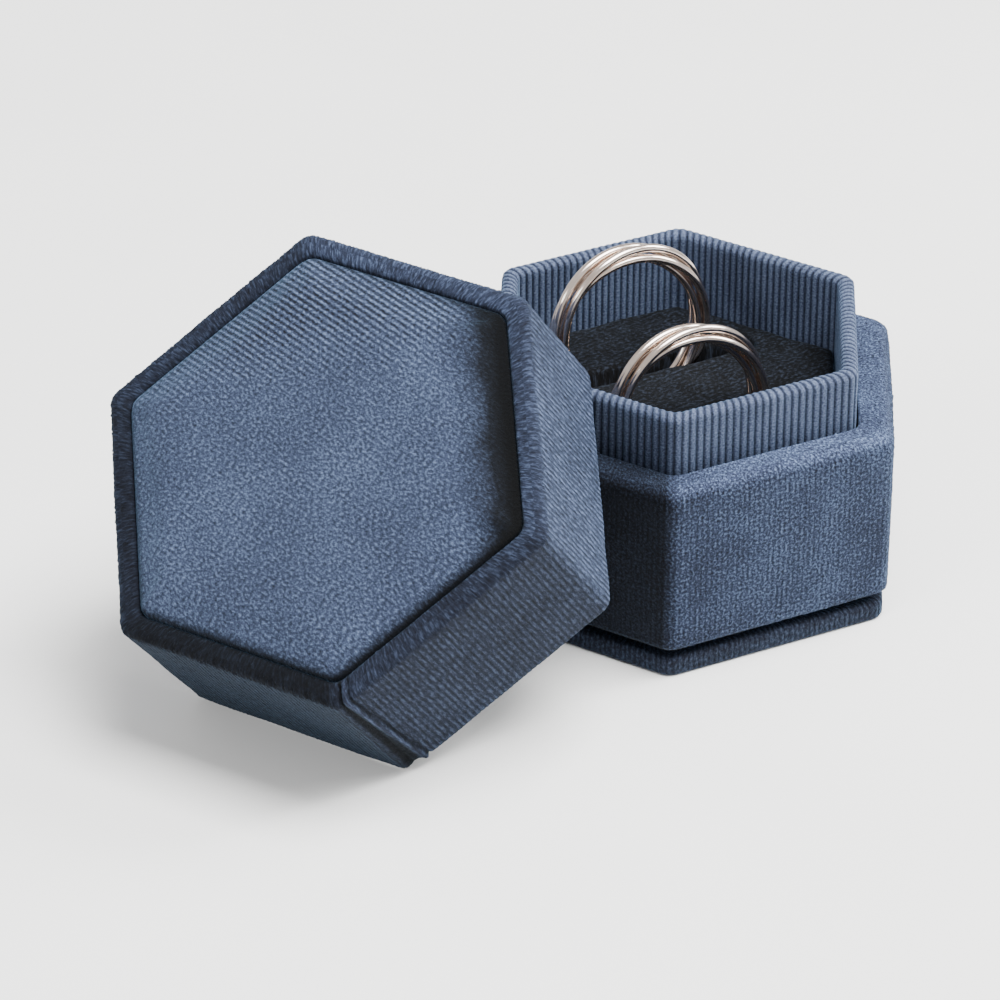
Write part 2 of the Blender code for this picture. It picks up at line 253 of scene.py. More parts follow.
def skin(name, outline, rows, lift, place, material, closed=True, look=None):
    """Hexagonal skin with the given cross-section, moved along its own outward side by lift.

    lift and look are functions of the outline and of the rows. lift gives metres, and look gives the
    painted light and shade of the pile and the ribbing that are stored on the points. An open
    cross-section is closed flat at both ends.
    """
    count, columns = len(rows), outline.count
    turn = np.roll(rows, -1, 0) - np.roll(rows, 1, 0)
    if not closed:
        turn[0], turn[-1] = rows[1] - rows[0], rows[-1] - rows[-2]
    side = np.stack([-turn[:, 1], turn[:, 0]], 1) / np.linalg.norm(turn, axis=1)[:, None]
    moved = lift(outline, rows)
    points = np.zeros((count, columns, 3))
    points[:, :, :2] = ((rows[:, 0] - outline.corner)[:, None, None] * outline.base
                        + outline.corner * outline.out + (moved * side[:, :1])[..., None] * outline.out)
    points[:, :, 2] = rows[:, 1:] + moved * side[:, 1:]

    down = np.r_[0, np.cumsum(np.linalg.norm(np.diff(rows, axis=0, append=rows[:1]), axis=1))]
    round_it = np.r_[outline.along, outline.length]
    row, column = np.divmod(np.arange((count if closed else count - 1) * columns), columns)
    below, beside = (row + 1) % count, (column + 1) % columns
    faces = np.stack([row * columns + column, below * columns + column,
                      below * columns + beside, row * columns + beside], 1).tolist()
    uvs = np.stack([np.stack([round_it[column + a], down[row + b]], 1)
                    for a, b in ((0, 0), (0, 1), (1, 1), (1, 0))], 1).reshape(-1, 2)
    if not closed:
        for cap in (list(range(columns)), list(range((count - 1) * columns, count * columns))[::-1]):
            faces.append(cap)
            uvs = np.vstack([uvs, points.reshape(-1, 3)[cap, :2]])
    made = mesh_object(name, points.reshape(-1, 3), faces, uvs, place, material)
    plain = np.ones((count, columns))
    # look gives the painted light and shade of the pile's colour, and its ribbing
    painted_shading, ribbing = look(outline, rows) if look else (plain, plain)
    store_painted_shading(made, painted_shading * plain, ribbing * plain)
    return made


def rib_shape(outline):
    """Height of a rib across its width, from 0 in the groove to 1 on its crown."""
    return (1 - (2 * outline.rib - 1) ** 2) ** 0.6


def shown(rows, low, high, fade):
    """1 on the rows whose flat is between two sizes, fading to 0 at both: keeps turn-ins plain."""
    return np.clip((rows[:, 0] - low) / fade, 0, 1) * np.clip((high - rows[:, 0]) / fade, 0, 1)


def lumps(outline, rows, size, seed):
    """Soft random unevenness from -1 to 1, with bumps of a size in metres."""
    x = outline.base[:, 0] * rows[:, :1]
    y = outline.base[:, 1] * rows[:, :1]
    z = np.repeat(rows[:, 1:], outline.count, 1) + seed
    flat = np.stack([x, y, z], -1).reshape(-1, 3) / size
    return np.array([noise.noise(p) for p in flat]).reshape(len(rows), -1)


def tufts(shape, depth, seed):
    """Loose ends of pile: fine random heights that roughen the silhouette."""
    return np.random.default_rng(seed).normal(0, depth, shape)


def by_bearing(outline, *shares):
    """Values for the six walls that face 30, 90, ... 330 degrees, blended round the corners."""
    return np.interp(outline.bearing, np.arange(-30, 400, 60), [shares[-1], *shares, shares[0]])


def velvet(name, deep, body, bloom, rib, groove_shade_and_depth=0.35, sharp=1.5, streak=1.6, contrast=0.8, turned=0,
           patch=8.0, patchy=0.2, sheen=0.32, relief=0.2, tuft=0.35):
    """Ribbed polyester velvet.

    rib is the spacing of its ribs in mm, groove how far their grooves are painted darker, as painted
    shade, and sunk in the bump, and sharp how narrow these are. tuft is the width of a tuft in mm,
    streak how many times longer it is, patch the size of the brushed patches in mm and patchy how much
    they differ. relief is the depth of the pile in mm. The pattern follows the map of the cloth, turned
    by some radians.
    """
    def coordinates(tree):
        return add(tree, "Mapping", {"Vector": add(tree, "UVMap", uv_map="cloth"),
                                     "Rotation": (0, 0, turned), "Scale": (1 / mm, 1 / mm, 1 / mm)})

    def pile(tree):
        """Height of the pile, about 0.2 to 0.8."""
        here = coordinates(tree)
        across = add(tree, "SeparateXYZ", {0: here})
        turns = add(tree, "Math", {0: across.outputs[0], 1: math.tau / rib}, operation="MULTIPLY")
        wave = add(tree, "Math", {0: add(tree, "Math", {0: turns}, operation="COSINE"), 1: 0.5, 2: 0.5},
                   operation="MULTIPLY_ADD")
        ribbing = add(tree, "Attribute", attribute_name="ribbing").outputs["Fac"]
        # the grooves are painted darker here, as painted shade, and the same value sinks them in the bump
        grooved = add(tree, "Math", {0: add(tree, "Math", {0: wave, 1: sharp}, operation="POWER"), 1: 0.4},
                      operation="SUBTRACT")
        ribbed = add(tree, "Math", {0: grooved, 1: ribbing}, operation="MULTIPLY")
        tufted = add(tree, "TexNoise", {"Scale": 1 / tuft, "Detail": 3.0, "Roughness": 0.7, "Vector": add(
            tree, "Mapping", {"Vector": here, "Scale": (1, 1 / streak, 1)})})
        return add(tree, "Math", {0: ribbed, 1: -groove_shade_and_depth, 2: tufted}, operation="MULTIPLY_ADD")

    def colour(tree):
        patches = add(tree, "TexNoise", {"Vector": coordinates(tree), "Scale": 1 / patch, "Detail": 2.0})
        toned = add(tree, "Math", {0: patches, 1: patchy, 2: pile(tree)}, operation="MULTIPLY_ADD")
        middle = 0.5 + 0.5 * patchy
        spread = add(tree, "MapRange", {"Value": toned, "From Min": middle - 0.3 / contrast,
                                        "From Max": middle + 0.3 / contrast})
        dyed = add(tree, "ValToRGB", {0: spread}, stops=[(0.0, deep), (1.0, bloom), (0.5, body)])
        # the stored painted light and shade brightens or darkens the dyed colour
        painted_shading = add(tree, "Attribute", attribute_name="painted_shading").outputs["Fac"]
        return add(tree, "VectorMath", {0: dyed, "Scale": painted_shading}, operation="SCALE")

    return surface(
        name, colour,
        lambda t: add(t, "Bump", {"Strength": 1.0, "Distance": relief * mm, "Height": pile(t)}),
        Roughness=0.9, Sheen_Weight=sheen, Sheen_Roughness=0.35, Sheen_Tint=linear("#8ab4de"),
        Specular_IOR_Level=0.15)


floor_flat, floor_low, floor_high = measure("floor_velvet")
floor_skin = 0.5 * mm
floor_fold = floor_flat - 5.0 * mm
floor_rows = rows_of([
    (floor_flat - floor_skin, floor_low + floor_skin, 0, 1.0 * mm),
    (floor_flat - floor_skin, floor_high - floor_skin, 0, 2.0 * mm),
    (floor_fold, floor_high - floor_skin, 0, 1.0 * mm),
    (floor_fold, floor_high, 0, 0.6 * mm),
    (floor_flat, floor_high, 0.7 * mm, 0.2 * mm),
    (floor_flat, floor_low, 0.6 * mm, 1.0 * mm),
    (floor_flat - 4.0 * mm, floor_low, 0, 1.0 * mm),
], closed=False)
floor_outline = Outline(floor_flat, RIB * mm, RIB_STEPS)
blue_velvet = velvet("blue_velvet", "#07080c", "#191d29", "#384255", rib=floor_outline.pitch / mm, groove_shade_and_depth=0.1,
                     contrast=1.3)


def floor_lift(outline, rows):
    """Small ribs and tufts on the edge, none on the underside or in the turn-in."""
    edge = (shown(rows, floor_flat - 1.2 * mm, floor_flat + 1 * mm, 0.8 * mm)
            * np.clip((rows[:, 1] - floor_low) / (0.4 * mm), 0, 1))[:, None]
    heights = 0.05 * mm * rib_shape(outline) + tufts((len(rows), outline.count), 0.02 * mm, 11)
    return edge * heights


floor_wrap = skin("floor_wrap", floor_outline, floor_rows, floor_lift, UPRIGHT, blue_velvet, closed=False)
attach(floor_wrap, "box")
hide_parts("floor_velvet")


# ---- padded wall ----------------------------------------------------------------------------
# Blue velvet drawn over a thin foam and glued under the wall and inside its top, so that the faces
# are slightly full, the ledge is a soft roll, and the pile stands up along every edge.
wall_flat, wall_low, wall_high = measure("wall_velvet")
collar_flat, collar_foot, collar_high = measure("collar_velvet")
wall_skin = 0.6 * mm
hem = 3.5 * mm
ledge_inner = collar_flat + 0.3 * mm
wall_rows = rows_of([
    (wall_flat, wall_high, 1.7 * mm, 0.55 * mm),
    (wall_flat, wall_low, 1.1 * mm, 0.8 * mm),
    (wall_flat - hem, wall_low, 0, 0.6 * mm),
    (wall_flat - hem, wall_low + wall_skin, 0, 1.5 * mm),
    (wall_flat - wall_skin, wall_low + wall_skin, 0.5 * mm, 3.0 * mm),
    (wall_flat - wall_skin, wall_high - wall_skin, 1.1 * mm, 1.5 * mm),
    (ledge_inner, wall_high - wall_skin, 0, 0.6 * mm),
    (ledge_inner, wall_high, 0.25 * mm, 0.35 * mm),
])


def wall_lift(outline, rows):
    """Full faces, low ribs and standing pile on the outside and the ledge."""
    outside = ((rows[:, 0] > wall_flat - 0.5 * wall_skin) | (rows[:, 1] > wall_high - 0.5 * wall_skin)
               | (rows[:, 1] < wall_low + 0.4 * wall_skin))
    outside = (outside & (rows[:, 0] > ledge_inner + 0.1 * mm)).astype(float)[:, None]
    level = np.clip((rows[:, 1:] - wall_low) / (wall_high - wall_low), 0, 1)
    full = 0.35 * mm * np.sin(math.pi * level) ** 0.7 * np.sin(math.pi * outline.share) ** 0.7
    heights = (full + 0.018 * mm * rib_shape(outline) + 0.07 * mm * lumps(outline, rows, 5.0 * mm, 0.3)
               + tufts((len(rows), outline.count), 1.0, 12) * np.where(level > 0.9, 0.05, 0.03) * mm)
    return outside * heights


wall_outline = Outline(wall_flat, RIB * mm, RIB_STEPS)
wall_velvet = velvet("wall_velvet", "#0b0d12", "#282e41", "#576885", rib=wall_outline.pitch / mm, groove_shade_and_depth=0.06,
                     streak=1.1, contrast=1.65, sheen=0.13, tuft=0.3)


def wall_look(outline, rows):
    """Painted light and shade, standing in for how the lamps fall on the pile as it lies: each face gets a
    painted tone of its own, the face beside the lid is painted dark as the lid's shadow, and the ledge is
    painted paler as a highlight.
    """
    ledge = np.clip((rows[:, 1:] - (wall_high - 1.0 * mm)) / (0.8 * mm), 0, 1)
    # painted shade and highlight by side: 0.12 paints the lid's shadow on the wall facing 210 degrees, and
    # the ledge is painted paler
    faces = by_bearing(outline, 0.95, 0.9, 0.8, 0.12, 0.88, 1.1) * (1 - ledge) + by_bearing(
        outline, 1.5, 1.4, 1.3, 0.35, 1.65, 1.45) * ledge
    return faces, 1 - ledge


padded_wall = skin("padded_wall", wall_outline, wall_rows, wall_lift, UPRIGHT, wall_velvet, look=wall_look)
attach(padded_wall, "box")
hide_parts("wall_velvet")


# ---- ribbed collar --------------------------------------------------------------------------
# A thin board wrapped inside and out in velvet pressed into upright cords about 1 mm apart. They fold
# over the rim as a row of small round nubs, which catch the light, with dark grooves between them.
CORD = 1.0 * mm
CORD_DEPTH = 0.22 * mm
CORD_STEPS = 8
collar_skin = 0.4 * mm
collar_inner = collar_flat - 1.95 * mm
collar_rows = rows_of([
    (collar_flat, collar_high, 0.9 * mm, 0.9 * mm),
    (collar_flat, collar_foot, 0, 0.4 * mm),
    (collar_flat - collar_skin, collar_foot, 0, 3.0 * mm),
    (collar_flat - collar_skin, collar_high - collar_skin, 0.3 * mm, 0.6 * mm),
    (collar_inner + collar_skin, collar_high - collar_skin, 0.3 * mm, 3.0 * mm),
    (collar_inner + collar_skin, collar_foot, 0, 0.4 * mm),
    (collar_inner, collar_foot, 0, 0.8 * mm),
    (collar_inner, collar_high, 0.9 * mm, 0.2 * mm),
])


def collar_lift(outline, rows):
    """Cords on both faces and over the rim, pressed in below the outline."""
    faces = (rows[:, 0] > collar_flat - 0.05 * mm) | (rows[:, 0] < collar_inner + 0.05 * mm)
    faces = (faces | (rows[:, 1] > collar_high - 0.8 * mm)) & (rows[:, 1] > collar_foot + 0.1 * mm)
    beneath = 0.6 * collar_skin
    inner_skin = ((rows[:, 0] < collar_flat - beneath) & (rows[:, 0] > collar_inner + beneath)
                  & (rows[:, 1] < collar_high - beneath))
    cords = CORD_DEPTH * (rib_shape(outline) - 0.8)
    uneven = (0.03 * mm * lumps(outline, rows, 2.0 * mm, 0.7)
              + tufts((len(rows), outline.count), 0.008 * mm, 13))
    return (faces & ~inner_skin)[:, None] * (cords + uneven)


collar_outline = Outline(collar_flat, CORD, CORD_STEPS)
collar_velvet = velvet("corded_velvet", "#0f1118", "#30374a", "#5d6980", rib=collar_outline.pitch / mm,
                       groove_shade_and_depth=0.36, sharp=2.2, streak=1.0, patch=5.0, relief=0.05, tuft=0.25)


def collar_look(outline, rows):
    """Painted light and shade: the cords over the rim are painted palest as a highlight, the inner faces are
    painted lighter against their shade, and each outer face gets a painted tone of its own.
    """
    rim = np.clip((rows[:, 1:] - (collar_high - 1.0 * mm)) / (0.8 * mm), 0, 1)
    inside = rows[:, :1] < (collar_flat + collar_inner) / 2
    # painted light: the inner faces are lifted to 1.2, and the outer faces are painted lighter or darker by
    # side
    faces = np.where(inside, 1.2, by_bearing(outline, 0.9, 0.9, 0.8, 0.75, 1.0, 1.1))
    return faces * (1 - rim) + 1.3 * rim, 1


collar = skin("collar_cords", collar_outline, collar_rows, collar_lift, UPRIGHT, collar_velvet,
              look=collar_look)
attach(collar, "box")
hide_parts("collar_velvet")


# ---- ring pad -------------------------------------------------------------------------------
# Near-black crushed velvet laid over the foam, tucked down between it and the collar, and pushed into
# the two slots that hold the rings. Its pile is flattened in short streaks and holds bits of lint.
pad_flat, pad_low, pad_high = measure("pad_velvet")
SLOTS = (6.65 * mm, -7.45 * mm)  # the slots' middles, along Y
SLOT_HALF_LENGTH = 14.6 * mm
SLOT_HALF_WIDTH = 1.50 * mm
SLOT_DEPTH = 9.5 * mm
SLOT_LEAN = math.radians(5)
LIP = 0.7 * mm                  # radius of a slot's rolled edge
SLOT_REACH = SLOT_HALF_WIDTH + LIP
PAD_GRID = 0.35 * mm
PAD_ROLL = 1.0 * mm             # radius of the roll at the pad's edge
PAD_SINK = 0.25 * mm            # how far its face lies below the outline, as room for its swellings
PAD_HEM_ROWS = 3
PAD_HEM_STEP = 1.4 * mm         # height of each row of faces down the tucked edge
black_velvet = velvet("crushed_black_velvet", "#010203", "#06070a", "#222833", rib=0.9, groove_shade_and_depth=0.06,
                      streak=1.6, contrast=2.0, turned=math.radians(78), patch=3.0, sheen=0.04)


def slot_lines():
    """Across one slot: each line's place when flat, and its place and depth in the slot."""
    lines = []
    for turn in np.radians(np.linspace(0, 90, 7)):
        lines.append((-SLOT_REACH + LIP * math.sin(turn), LIP * (1 - math.cos(turn))))
    for depth in np.linspace(LIP, SLOT_DEPTH, 9)[1:]:
        lines.append((-SLOT_HALF_WIDTH, depth))
    lines.append((0.0, SLOT_DEPTH))
    lines += [(-across, depth) for across, depth in lines[-2::-1]]
    flat = np.linspace(-SLOT_REACH, SLOT_REACH, len(lines))
    return [(level, across, depth) for level, (across, depth) in zip(flat, lines)]


edges = [-pad_flat, SLOTS[1] - SLOT_REACH, SLOTS[1] + SLOT_REACH,
         SLOTS[0] - SLOT_REACH, SLOTS[0] + SLOT_REACH, pad_flat]
lines = []                      # (flat place, place in the slot, depth in the slot)
for number in range(5):
    if number % 2:
        slot = SLOTS[1] if number == 1 else SLOTS[0]
        lines += [(slot + level, slot + across, depth) for level, across, depth in slot_lines()[1:-1]]
    else:
        steps = math.ceil((edges[number + 1] - edges[number]) / PAD_GRID)
        lines += [(y, y, 0.0) for y in np.linspace(edges[number], edges[number + 1], steps + 1)]
lines = np.array(lines)
pad_corner = pad_flat * FLAT_TO_CORNER
xs = np.linspace(-pad_corner, pad_corner, math.ceil(2 * pad_corner / PAD_GRID))
in_slot = np.clip((SLOT_HALF_LENGTH - np.abs(xs)) / LIP, 0, 1)
in_slot = (in_slot ** 2 * (3 - 2 * in_slot))[:, None]
depth = in_slot * lines[:, 2]
pad_x = np.repeat(xs[:, None], len(lines), 1)
pad_y = (1 - in_slot) * lines[:, 0] + in_slot * lines[:, 1] - depth * math.tan(SLOT_LEAN)

work = bmesh.new()
store = work.verts.layers.float_vector.new("slot")
grid = [[work.verts.new((pad_x[i, j], lines[j, 0], 0)) for j in range(len(lines))] for i in range(len(xs))]
for i, column in enumerate(grid):
    for j, vert in enumerate(column):
        vert[store] = (pad_x[i, j], pad_y[i, j], -depth[i, j])
for i in range(len(xs) - 1):
    for j in range(len(lines) - 1):
        work.faces.new((grid[i][j], grid[i + 1][j], grid[i + 1][j + 1], grid[i][j + 1]))
for step in range(24):
    # the outline's flats, and three short cuts round each corner
    bearing = math.radians(15 * step)
    out = Vector((math.cos(bearing), math.sin(bearing), 0))
    off_corner = abs((step + 2) % 4 - 2) * math.radians(15)
    reach_out = CORNER + (pad_flat - CORNER) * FLAT_TO_CORNER * math.cos(off_corner)
    bmesh.ops.bisect_plane(work, geom=work.verts[:] + work.edges[:] + work.faces[:], dist=1e-7,
                           plane_co=out * reach_out, plane_no=out, clear_outer=True)
for vert in work.verts:
    # the sheet rolls down at its edge, and sinks and swells a little where it is pressed
    nearest = min(pad_flat - abs(vert.co.x * math.cos(b) + vert.co.y * math.sin(b))
                  for b in np.radians((30, 90, 150)))
    roll = max(0.0, 1 - nearest / PAD_ROLL)
    rolled = PAD_ROLL * (1 - math.sqrt(max(0.0, 1 - roll ** 2)))
    x, y, down = vert[store]
    spot = Vector((x, y, 0)) / (4.0 * mm)
    fine = Vector((x / (0.5 * mm), y / (1.1 * mm), 3.0))
    swell = 0.22 * mm * noise.noise(spot) + 0.06 * mm * noise.noise(fine)
    vert.co = (x, y, pad_high + down + swell - rolled - PAD_SINK)
rim = [edge for edge in work.edges if edge.is_boundary]
for _ in range(PAD_HEM_ROWS):
    made = bmesh.ops.extrude_edge_only(work, edges=rim)["geom"]
    rim = [part for part in made if isinstance(part, bmesh.types.BMEdge) and part.is_boundary]
    lowered = [part for part in made if isinstance(part, bmesh.types.BMVert)]
    bmesh.ops.translate(work, vec=(0, 0, -PAD_HEM_STEP), verts=lowered)
bmesh.ops.recalc_face_normals(work, faces=work.faces)
if sum(face.normal.z for face in work.faces) < 0:
    bmesh.ops.reverse_faces(work, faces=work.faces)
pad_mesh = bpy.data.meshes.new("ring_pad")
work.to_mesh(pad_mesh)
work.free()
pad_mesh.shade_smooth()
pad_mesh.materials.append(black_velvet)
pad = bpy.data.objects.new("ring_pad", pad_mesh)
bpy.context.collection.objects.link(pad)
thick = pad.modifiers.new("pile", "SOLIDIFY")
thick.thickness = 0.22 * mm
thick.offset = -1.0


def map_flat(made):
    """Map the cloth straight down onto the piece, in metres."""
    mesh = made.data
    flat_map = mesh.uv_layers.get("cloth") or mesh.uv_layers.new(name="cloth")
    flat_map.data.foreach_set("uv", [place for loop in mesh.loops
                                     for place in mesh.vertices[loop.vertex_index].co[:2]])


map_flat(pad)
store_painted_shading(pad, np.ones(len(pad_mesh.vertices)), np.ones(len(pad_mesh.vertices)))
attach(pad, "box")
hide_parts("pad_velvet")


# ---- rings ----------------------------------------------------------------------------------
# Each ring is four round bands linked through each other, drawn from pale rose gold wire, soldered
# and polished. They are bright and almost smooth, with hair-fine polishing lines along the wire.
BAND_STEPS, WIRE_STEPS = 180, 24
POLISH_LINE = 0.12              # mm between polishing lines, drawn coarser than real to show
rose_gold = surface(
    "polished_rose_gold",
    lambda t: add(t, "ValToRGB", {0: add(t, "TexNoise", {
        "Vector": millimetres(t), "Scale": 0.35, "Detail": 2.0})},
        stops=[(0.3, "#dccabd"), (0.7, "#ecdfd6")]),
    lambda t: add(t, "Bump", {"Strength": 0.12, "Distance": 0.01 * mm, "Height": add(t, "TexNoise", {
        "Vector": add(t, "Mapping", {"Vector": add(t, "UVMap", uv_map="cloth"), "Scale": (
            0.05 / mm, 1 / (POLISH_LINE * mm), 1)}), "Scale": 1.0, "Detail": 2.0})}),
    Metallic=1.0,
    Roughness=lambda t: add(t, "MapRange", {"Value": add(t, "TexNoise", {
        "Vector": millimetres(t), "Scale": 1.2, "Detail": 3.0}), "To Min": 0.14, "To Max": 0.22}))


def band(node, body):
    """Finely rounded band in the place of a CAD band, which gives its middle, axis and thickness."""
    points = np.array([v.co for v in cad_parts[node].data.vertices])
    middle = points.mean(0)
    axes = np.linalg.svd(points - middle)[2]
    if np.linalg.det(axes) < 0:
        axes[1] *= -1
    spread = np.linalg.norm((points - middle) @ axes[:2].T, axis=1)
    radius = (spread.max() + spread.min()) / 2
    wire = (spread.max() - spread.min()) / 2
    row, column = np.divmod(np.arange(BAND_STEPS * WIRE_STEPS), WIRE_STEPS)
    turn, twist = row * math.tau / BAND_STEPS, column * math.tau / WIRE_STEPS
    # drawing and soldering leave the wire very slightly uneven
    uneven = 1 + 0.012 * np.sin(3 * turn + 1.3) + 0.008 * np.sin(7 * turn)
    out = radius + wire * uneven * np.cos(twist)
    local = np.stack([out * np.cos(turn), out * np.sin(turn), wire * uneven * np.sin(twist)], 1)
    beside, above = (row + 1) % BAND_STEPS, (column + 1) % WIRE_STEPS
    faces = np.stack([row * WIRE_STEPS + column, beside * WIRE_STEPS + column,
                      beside * WIRE_STEPS + above, row * WIRE_STEPS + above], 1).tolist()
    lengthwise, about = radius * math.tau / BAND_STEPS, wire * math.tau / WIRE_STEPS
    uvs = np.stack([np.stack([(row + a) * lengthwise, (column + b) * about], 1)
                    for a, b in ((0, 0), (1, 0), (1, 1), (0, 1))], 1)
    made = mesh_object(node.replace("_band", "_wire"), middle + local @ axes, faces, uvs, UPRIGHT, rose_gold)
    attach(made, body)
    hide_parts(node)


for ring in ("back_ring", "front_ring"):
    for number in range(4):
        band(f"{ring}_band_{number + 1}", ring)


# ---- lid wall -------------------------------------------------------------------------------
# Velvet in fine ribs that run from the open rim to the top, drawn round a board hexagon, over the
# ledge and down beside the panel. Its two ends lap at one corner: a rolled fold beside a dark gap.
LAP_BEARING = 240               # degrees, the corner where the ends meet
lid_points = np.array([v.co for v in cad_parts["lid_top_board"].data.vertices])
lid_middle = lid_points.mean(0)
lid_up = Vector(np.linalg.svd(lid_points - lid_middle)[2][2])
lid_up = lid_up if lid_up.z > 0 else -lid_up
lid_turn = Vector((0, 0, 1)).rotation_difference(lid_up).to_matrix().to_4x4()
lid_place = Matrix.Translation(lid_middle) @ lid_turn
# from here on, the lid's own upright place has its open rim at level 0
lid_flat, lid_low, lid_high = measure("lid_wall_velvet", lid_place)
lid_place = lid_place @ Matrix.Translation((0, 0, lid_low))
lid_flat, lid_low, lid_high = measure("lid_wall_velvet", lid_place)
panel_flat, panel_low, panel_high = measure("lid_panel_velvet", lid_place)
liner_flat, liner_low, liner_high = measure("lid_liner_fabric", lid_place)
lid_skin = 0.6 * mm
well = panel_flat + 0.25 * mm   # the ledge's fabric goes down here, beside the panel
lid_rows = rows_of([
    (lid_flat, lid_high, 1.1 * mm, 0.58 * mm),
    (lid_flat, lid_low, 0.7 * mm, 0.5 * mm),
    (liner_flat - 0.4 * mm, lid_low, 0.25 * mm, 0.4 * mm),
    (liner_flat - 0.4 * mm, lid_low + lid_skin, 0, 1.5 * mm),
    (lid_flat - lid_skin, lid_low + lid_skin, 0.3 * mm, 3.0 * mm),
    (lid_flat - lid_skin, lid_high - lid_skin, 0.6 * mm, 1.5 * mm),
    (well, lid_high - lid_skin, 0, 0.6 * mm),
    (well, panel_low + 0.1 * mm, 0, 0.3 * mm),
    (well - 0.2 * mm, panel_low + 0.1 * mm, 0, 0.5 * mm),
    (well - 0.2 * mm, lid_high, 0.8 * mm, 0.3 * mm),
])


def lap_parts(outline, rows):
    """Shares of the gap, the rolled fold beside it and the dent after it, near the lap's corner."""
    corner_at = LAP_BEARING / 360 * outline.length + CORNER * math.pi / 6
    away = (outline.along - corner_at) / mm
    opened = 1 - np.clip((rows[:, 1:] - lid_low) / (lid_high - lid_low), 0, 1)
    gap = np.exp(-((away - 0.5 - 0.7 * opened) / (0.25 + 0.75 * opened)) ** 2)
    fold = np.exp(-((away - 1.0 - 1.5 * opened) / 0.24) ** 2)
    dent = np.exp(-((away - 1.6 - 1.5 * opened) / 0.28) ** 2)
    return gap * (0.7 + 0.3 * opened), fold, dent


def lid_lift(outline, rows):
    """Ribs, standing pile and the lap at one corner."""
    outside = ((rows[:, 0] > lid_flat - 0.5 * lid_skin) | (rows[:, 1] > lid_high - 0.5 * lid_skin)
               | (rows[:, 1] < lid_low + 0.4 * lid_skin))
    outside = (outside & (rows[:, 0] > well + 0.1 * mm)).astype(float)[:, None]
    level = np.clip((rows[:, 1:] - lid_low) / (lid_high - lid_low), 0, 1)
    full = 0.15 * mm * np.sin(math.pi * level) ** 0.7 * np.sin(math.pi * outline.share) ** 0.7
    ribs = 0.035 * mm * (rib_shape(outline) - 0.5) * (rows[:, 1:] < lid_high - 1.2 * mm)
    gap, fold, dent = lap_parts(outline, rows)
    lap = (0.35 * fold - 0.5 * gap - 0.25 * dent) * mm * (rows[:, :1] > lid_flat - 2.0 * mm)
    heights = (full + ribs + lap + 0.08 * mm * lumps(outline, rows, 6.0 * mm, 0.9)
               + tufts((len(rows), outline.count), 1.0, 14) * np.where(level > 0.93, 0.05, 0.015) * mm)
    return outside * heights


def crease_shade(bearing):
    """Painted shade in the crease between panel and ledge: the brightness painted there, darkest on the three
    sides where the crease is tightest.
    """
    sides = [0, 30, 90, 150, 210, 270, 330, 360]
    return np.interp(bearing, sides, [0.2, 0.55, 0.5, 0.25, 0.05, 0.05, 0.05, 0.2])


def lid_look(outline, rows):
    """Painted light and shade on the walls and the ledge by side, painted shade in the lap's gap and dent, a
    painted highlight on its fold, and painted shade in the crease beside the panel.
    """
    ledge = np.clip((rows[:, 1:] - (lid_high - 1.6 * mm)) / (0.9 * mm), 0, 1)
    well_side = rows[:, :1] < panel_flat + 0.35 * mm
    # painted light and shade by side: the walls facing 210 and 270 degrees and the ledge on the left are
    # painted dark
    walls = by_bearing(outline, 1.05, 0.95, 0.85, 0.13, 0.5, 1.12)
    on_ledge = by_bearing(outline, 1.0, 0.5, 0.25, 0.09, 0.5, 0.8)
    gap, fold, dent = lap_parts(outline, rows)
    # painted shade in the lap's gap and dent, and a painted highlight on its fold
    lap_shading = np.clip(1 - 1.6 * gap - 0.6 * dent, 0.02, 1) * (1 + 0.9 * fold)
    toned = lap_shading * (walls * (1 - ledge) + on_ledge * ledge)
    return np.where(well_side, crease_shade(outline.bearing), toned), 1 - ledge


lid_outline = Outline(lid_flat, RIB * mm, RIB_STEPS)
lid_velvet = velvet("fine_ribbed_velvet", "#0b0c12", "#252b3c", "#515e7a", rib=lid_outline.pitch / mm,
                    groove_shade_and_depth=0.2, streak=4.5, contrast=1.15, patch=9.0, sheen=0.12, tuft=0.3)
lid_wall = skin("lid_wall", lid_outline, lid_rows, lid_lift, lid_place, lid_velvet, look=lid_look)
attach(lid_wall, "lid")
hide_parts("lid_wall_velvet")


# ---- lid panel ------------------------------------------------------------------------------
# A card with foam and blue velvet drawn over it, glued into the well of the lid. The velvet is pulled
# tight, so the panel is full in the middle and steep at its sides, and its ribs show as diagonal
# lines where it is stretched hardest.
SIM_SCALE = 20                  # cloth is simulated this much larger, where its settings suit it
SIM_FRAMES = 20                 # frames until the cloth has filled out
VOXEL = 0.6 * mm
DIP_WIDTH = 8.0 * mm
panel_velvet = velvet("panel_velvet", "#0f1118", "#2f374b", "#5d6d8a", rib=RIB, groove_shade_and_depth=0.3, sharp=1.0,
                      streak=1.5, contrast=1.3, turned=math.radians(-15), patch=11.0, patchy=0.15, tuft=0.3)


def apply_modifiers(made):
    """Make the object's mesh what its modifiers show."""
    shown_now = made.evaluated_get(bpy.context.evaluated_depsgraph_get())
    mesh = bpy.data.meshes.new_from_object(shown_now)
    made.modifiers.clear()
    made.data = mesh


